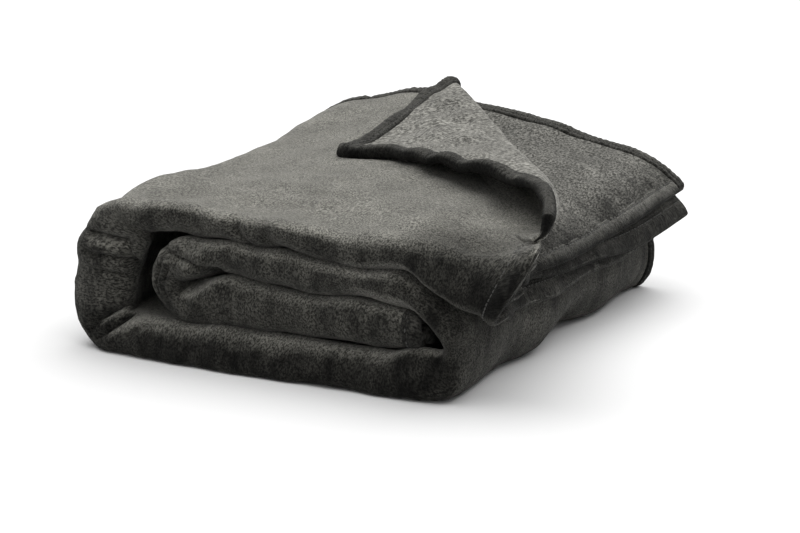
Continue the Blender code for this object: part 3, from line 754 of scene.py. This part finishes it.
def make_hem(name, lines, seed, tone=1.0, half=HEM_HALF, pucker=0.05, knobs=(0, 0)):
    """A hem as a closed band from the cloth's edge to the line that it is sewn on."""
    edge = lines[0]
    length = np.concatenate([[0], np.cumsum(np.linalg.norm(np.diff(edge, axis=0), axis=1))])
    random = np.random.default_rng(seed)
    beat = length * 2 * math.pi / 0.0055 + 1.5 * ripple(edge, 0.02, seed)
    puckers = 1 + pucker * np.sin(beat) + random.normal(0, 0.5 * pucker, len(edge))
    thick = half * puckers * (1 + 0.10 * ripple(edge, 0.05, seed))
    for knob, off in zip(knobs, (length, length[-1] - length)):
        thick = thick * (0.35 + 0.65 * np.sqrt(np.clip(off / 0.004, 0, 1)))
        thick = thick * (1 + knob * np.exp(-((off / 0.012) ** 2)))
    count = len(HEM_SECTION)
    rings = [on_band(lines, share, height * thick)[0] for share, height in HEM_SECTION]
    mesh = bmesh.new()
    bmesh.ops.create_grid(mesh, x_segments=len(edge) - 1, y_segments=count, size=1)
    hem_uv = mesh.loops.layers.uv.new("cloth")
    places = []
    for vert in mesh.verts:
        step = round((vert.co.x + 1) / 2 * (len(edge) - 1))
        side = round((vert.co.y + 1) / 2 * count)
        places.append((step, side))
        vert.co = rings[side % count][step]
        vert.co.z = max(vert.co.z, 0.0)
    for face in mesh.faces:
        face.smooth = True
        for loop in face.loops:
            step, side = places[loop.vert.index]
            loop[hem_uv].uv = (length[step], side * 0.0016)
    bmesh.ops.remove_doubles(mesh, verts=mesh.verts, dist=0.00001)
    bmesh.ops.holes_fill(mesh, edges=[edge for edge in mesh.edges if edge.is_boundary])
    bmesh.ops.recalc_face_normals(mesh, faces=mesh.faces)
    data = bpy.data.meshes.new(name)
    mesh.to_mesh(data)
    mesh.free()
    obj = bpy.data.objects.new(name, data)
    bpy.context.scene.collection.objects.link(obj)
    data.materials.append(hem_fleece)
    # The band's own darker tone, times the painted light and shade.
    set_tone_and_painted_light(obj, tone * painted_light_of(obj))
    return obj


roll_way = np.linspace(0.0, ROLL_LENGTH, 560)
hidden_way = np.linspace(HEM, WIDTH - HEM, 420)
leaf_way = np.linspace(0.0, TOP_LENGTH, 210)
cover_way = np.linspace(0.0, CREASE_BACK.x - SEAM, 60)
end_way = np.linspace(BACK - CREASE_FRONT.y - 0.004, WIDTH, 640)
rolled_cover_lines = band_lines(place_rolled, roll_way, 0.0, 0.0, HEM)
rolled_lining_lines = band_lines(place_rolled, roll_way, WIDTH, 0.0, -HEM)
hidden_lines = band_lines(place_rolled, ROLL_LENGTH, hidden_way, -HEM, 0.0)
top_cover_lines = band_lines(place_top, cover_way, 0.0, 0.0, HEM)
top_lining_lines = band_lines(place_top, leaf_way, WIDTH, 0.0, -HEM)
end_lines = band_lines(place_top, TOP_LENGTH, end_way, -END_WIDTH, 0.0)

rolled_cover_hem = make_hem("rolled_cover_hem", rolled_cover_lines, 21, 0.5)
rolled_lining_hem = make_hem("rolled_lining_hem", rolled_lining_lines, 22, 0.5)
hidden_hem = make_hem("hidden_end_band", hidden_lines, 23, 0.5)
for band in (rolled_cover_hem, rolled_lining_hem, hidden_hem):
    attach(band, "folded_stack")
INNER_STRETCHES = ("left_fold", "bottom_leaf", "right_fold", "second_leaf", "inner_turn", "third_leaf")
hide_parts(*[name + "_cover_hem" for name in INNER_STRETCHES])
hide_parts(*[name + "_lining_hem" for name in INNER_STRETCHES])
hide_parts("hidden_end_hem")

top_cover_hem = make_hem("top_cover_hem", top_cover_lines, 24, 0.5)
top_lining_hem = make_hem("top_lining_hem", top_lining_lines, 25, 0.5)
end_hem = make_hem("end_hem", end_lines, 26, 1.0, END_HALF, 0.015)
for band in (top_cover_hem, top_lining_hem):
    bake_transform(band)
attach(end_hem, "top_leaf")
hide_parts("top_leaf_cover_hem")
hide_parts("top_leaf_lining_hem")
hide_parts("free_end_hem")

edge_share = np.linspace(-0.1, 1.0, 220)
edge_flat = np.array([CREASE_LENGTH, 0.0]) + edge_share[:, None] * np.array(
    [TIP_ALONG - CREASE_LENGTH, TIP_IN]
)
under = edge_share < 0
edge_flat[under, 0] = np.minimum(edge_flat[under, 0], CREASE_LENGTH + 0.006)
edge_flat[under, 1] = np.interp(
    edge_share[under], [-0.1, -0.021, 0.0], [-0.032, -0.0026, 0.0]
)
turn = np.where(under, smooth(1 + edge_share / 0.1), 1.0)[:, None]
edge_in = np.array([edge_way.y, -edge_way.x]) * turn + np.array([-1, 0]) * (1 - turn)
edge_in *= HEM / np.linalg.norm(edge_in, axis=1)[:, None]
back_share = np.linspace(0.0, 1.0, 100)
back_flat = back_share[:, None] * np.array([TIP_ALONG, TIP_IN])
corner_end_lines = band_lines(place_corner, *edge_flat.T, *edge_in.T)
corner_back_lines = band_lines(place_corner, *back_flat.T, back_way.y * HEM, -back_way.x * HEM)
corner_end_hem = make_hem("corner_end_band", corner_end_lines, 27, 0.4, knobs=(-0.75, 0.6))
corner_back_hem = make_hem("corner_back_band", corner_back_lines, 28, 0.4, knobs=(0.4, 0.6))
for band in (corner_end_hem, corner_back_hem):
    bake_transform(band)
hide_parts("corner_end_hem", "corner_curl_hem")
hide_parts("corner_back_hem")

# ---- Stitches ----
# Polyester thread in a row along the inner side of each hem, sunk into the pile.

STITCH, STITCH_STEP, THREAD = 0.0032, 0.0048, 0.0005

thread = bpy.data.materials.new("thread")
thread.use_nodes = True
thread_shader = thread.node_tree.nodes["Principled BSDF"]
thread_shader.inputs["Roughness"].default_value = 0.75
thread_shader.inputs["Sheen Weight"].default_value = 0.2
twist_place = thread.node_tree.nodes.new("ShaderNodeTexCoord")
twist = thread.node_tree.nodes.new("ShaderNodeTexNoise")
twist.inputs["Scale"].default_value = 900.0
twist_colour = thread.node_tree.nodes.new("ShaderNodeMix")
twist_colour.data_type = "RGBA"
twist_colour.inputs["A"].default_value = (0.014, 0.0135, 0.012, 1)
twist_colour.inputs["B"].default_value = (0.05, 0.049, 0.044, 1)
thread.node_tree.links.new(twist_place.outputs["Object"], twist.inputs["Vector"])
thread.node_tree.links.new(twist.outputs["Fac"], twist_colour.inputs["Factor"])
thread.node_tree.links.new(twist_colour.outputs["Result"], thread_shader.inputs["Base Color"])


def make_stitches(name, lines, half=HEM_HALF):
    """A row of stitches in the groove of a hem, on both of its faces."""
    length = np.concatenate([[0], np.cumsum(np.linalg.norm(np.diff(lines[0], axis=0), axis=1))])
    pattern = bmesh.new()
    bmesh.ops.create_uvsphere(pattern, u_segments=6, v_segments=4, radius=1)
    corners = np.array([vert.co for vert in pattern.verts]) * (THREAD, THREAD, STITCH / 2)
    faces = [[vert.index for vert in face.verts] for face in pattern.faces]
    pattern.free()
    points, polygons = [], []
    for side in (1, -1):
        row, normal = on_band(lines, 0.76, np.full(len(length), side * (0.72 * half + THREAD / 2)))
        for at in np.arange(STITCH_STEP, length[-1] - STITCH_STEP, STITCH_STEP):
            step = min(int(np.searchsorted(length, at)), len(length) - 2)
            ahead = row[step + 1] - row[step - 1]
            ahead /= np.linalg.norm(ahead)
            base = len(points) * len(corners)
            turned = np.array([np.cross(normal[step], ahead), normal[step], ahead])
            points.append(row[step] + corners @ turned)
            polygons += [[base + index for index in face] for face in faces]
    data = bpy.data.meshes.new(name)
    spots = np.concatenate(points)
    spots[:, 2] = np.maximum(spots[:, 2], 0.0)
    data.from_pydata(spots.tolist(), [], polygons)
    data.shade_smooth()
    obj = bpy.data.objects.new(name, data)
    bpy.context.scene.collection.objects.link(obj)
    data.materials.append(thread)
    return obj


rolled_cover_stitches = make_stitches("rolled_cover_stitches", rolled_cover_lines)
rolled_lining_stitches = make_stitches("rolled_lining_stitches", rolled_lining_lines)
hidden_stitches = make_stitches("hidden_end_stitches", hidden_lines)
for row in (rolled_cover_stitches, rolled_lining_stitches, hidden_stitches):
    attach(row, "folded_stack")
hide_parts("inner_cover_seam")
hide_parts("inner_lining_seam")

top_cover_stitches = make_stitches("top_cover_stitches", top_cover_lines)
top_lining_stitches = make_stitches("top_lining_stitches", top_lining_lines)
end_stitches = make_stitches("end_stitches", end_lines, END_HALF)
for row in (top_cover_stitches, top_lining_stitches):
    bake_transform(row)
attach(end_stitches, "top_leaf")
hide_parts("top_leaf_cover_seam")
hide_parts("top_leaf_lining_seam")

# The corner's row starts a little past the crease, where the band has come out from under the roll
row_start = under.sum() + 20
corner_end_stitches = make_stitches(
    "corner_end_stitches", [line[row_start:] for line in corner_end_lines]
)
corner_back_stitches = make_stitches("corner_back_stitches", corner_back_lines)
for row in (corner_end_stitches, corner_back_stitches):
    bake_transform(row)
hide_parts("corner_end_seam")
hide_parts("corner_back_seam")

# ---- Floor, light and camera ----
# The pack lies on matt white paper in a bright white room, under one wide soft lamp high behind it.
# The camera stands at the front right, a little above the pack.

floor_mesh = bmesh.new()
bmesh.ops.create_grid(floor_mesh, x_segments=1, y_segments=1, size=15)
floor_data = bpy.data.meshes.new("floor")
floor_mesh.to_mesh(floor_data)
floor_mesh.free()
floor = bpy.data.objects.new("floor", floor_data)
bpy.context.scene.collection.objects.link(floor)
floor.location.z = -0.001
paper = bpy.data.materials.new("paper")
paper.use_nodes = True
paper.node_tree.nodes["Principled BSDF"].inputs["Base Color"].default_value = (0.70, 0.70, 0.70, 1)
paper.node_tree.nodes["Principled BSDF"].inputs["Roughness"].default_value = 1.0
paper.node_tree.nodes["Principled BSDF"].inputs["Specular IOR Level"].default_value = 0.0
floor_data.materials.append(paper)

sky = bpy.data.worlds.new("studio")
sky.use_nodes = True
sky.node_tree.nodes["Background"].inputs["Color"].default_value = (1, 1, 1, 1)
sky.node_tree.nodes["Background"].inputs["Strength"].default_value = 0.45
bpy.context.scene.world = sky

box_light = bpy.data.lights.new("softbox", "AREA")
box_light.shape = "RECTANGLE"
box_light.size = 7.0
box_light.size_y = 7.0
box_light.energy = 410
softbox = bpy.data.objects.new("softbox", box_light)
softbox.location = (0.3, 1.2, 4.0)
bpy.context.scene.collection.objects.link(softbox)

CAMERA_PLACE = Vector((0.7007, -1.3325, 0.43326))
CAMERA_AZIMUTH, CAMERA_ELEVATION = math.radians(27.908), math.radians(14.5)
lens = bpy.data.cameras.new("camera")
lens.lens = 84.44
lens.sensor_width = 36
camera = bpy.data.objects.new("camera", lens)
camera.location = CAMERA_PLACE
camera.rotation_euler = (math.pi / 2 - CAMERA_ELEVATION, 0, CAMERA_AZIMUTH)
bpy.context.scene.collection.objects.link(camera)
bpy.context.scene.camera = camera
bpy.context.scene.view_settings.view_transform = "Standard"
